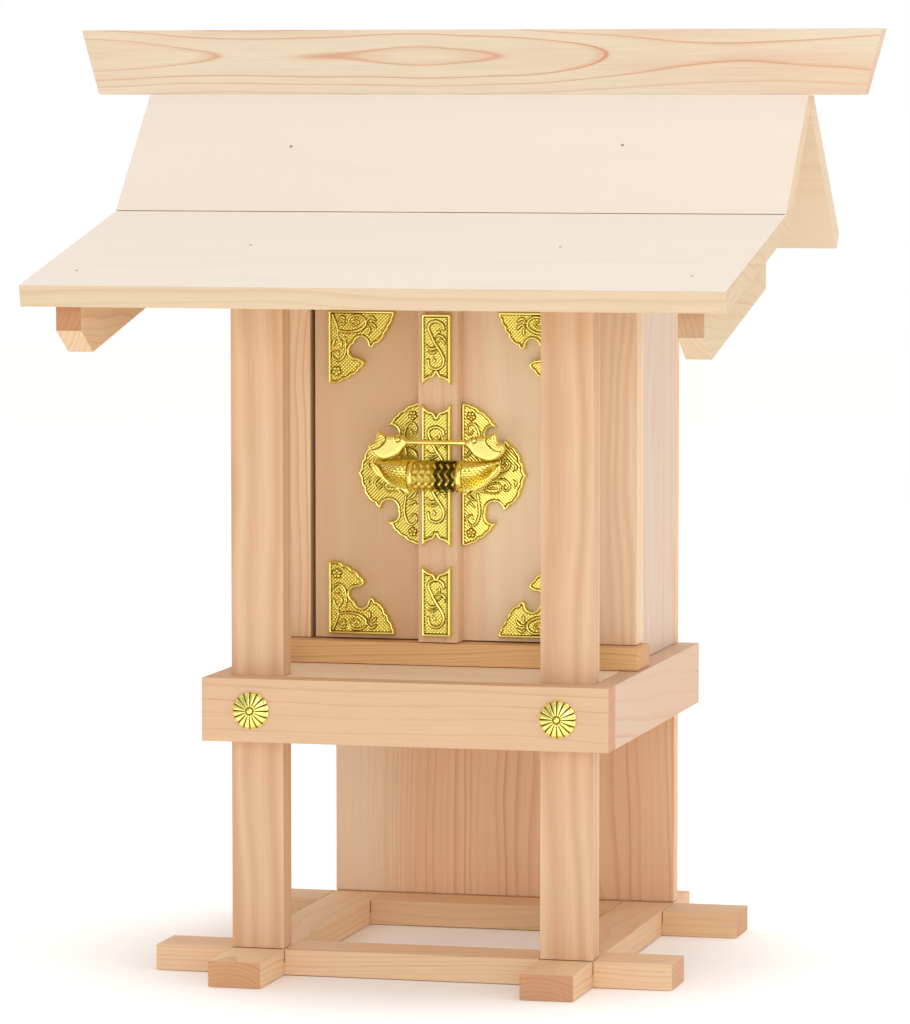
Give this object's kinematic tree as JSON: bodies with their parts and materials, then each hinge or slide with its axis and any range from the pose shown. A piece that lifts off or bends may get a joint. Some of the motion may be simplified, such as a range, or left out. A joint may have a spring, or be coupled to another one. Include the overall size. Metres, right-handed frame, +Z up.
{
  "type": "household shinto shrine",
  "caption": "Plain wooden household shrine: posts on a crossed base, a platform, a cabinet with a pair of hinged doors and gilt plates, and a gabled roof with a long front eave.",
  "frame": {"origin": "on the surface that the shrine stands on, under the middle of its outline", "axes": "+Z up, -Y the front with the doors, +X to the viewer's right"},
  "size_m": [0.4036, 0.3096, 0.4497],
  "materials": {
    "cypress": "planed, unvarnished, pale pinkish cream with fine straight grain",
    "gilt_brass": "polished gilt on stamped relief"
  },
  "bodies": {
    "shrine": {"base_front_beam": "cypress", "base_rear_beam": "cypress", "base_left_beam": "cypress", "base_right_beam": "cypress", "post_left": "cypress", "post_right": "cypress", "back_board": "cypress", "platform_front_board": "cypress", "platform_left_board": "cypress", "platform_right_board": "cypress", "platform_floor": "cypress", "rosette_left": "gilt_brass", "rosette_right": "gilt_brass", "door_sill": "cypress", "door_header": "cypress", "jamb_left": "cypress", "jamb_right": "cypress", "wall_left": "cypress", "wall_right": "cypress", "roof_eave_board": "cypress", "roof_steep_board": "cypress", "roof_rear_board": "cypress", "roof_ridge_board": "cypress", "roof_rafter_left": "cypress", "roof_rafter_right": "cypress"},
    "left_leaf": {"door_left": "cypress", "door_cover_strip": "cypress", "corner_plate_bottom_left": "gilt_brass", "corner_plate_top_left": "gilt_brass", "half_plate_left": "gilt_brass", "strip_plate_top": "gilt_brass", "strip_plate_middle": "gilt_brass", "strip_plate_bottom": "gilt_brass", "lock_body": "gilt_brass", "lock_bar": "gilt_brass"},
    "right_leaf": {"door_right": "cypress", "corner_plate_bottom_right": "gilt_brass", "corner_plate_top_right": "gilt_brass", "half_plate_right": "gilt_brass"}
  },
  "joints": [
    {"name": "left_leaf_swing", "type": "hinge", "parent": "shrine", "child": "left_leaf", "pos_m": [-0.062, 0.0026, 0.235], "axis": [0, 0, -1], "range_deg": [0, 60]},
    {"name": "right_leaf_swing", "type": "hinge", "parent": "shrine", "child": "right_leaf", "pos_m": [0.062, 0.0026, 0.235], "axis": [0, 0, -1], "range_deg": [-60, 0]}
  ],
  "couplings": [
    {"joint": "right_leaf_swing", "follows": "left_leaf_swing", "ratio": -1}
  ]
}
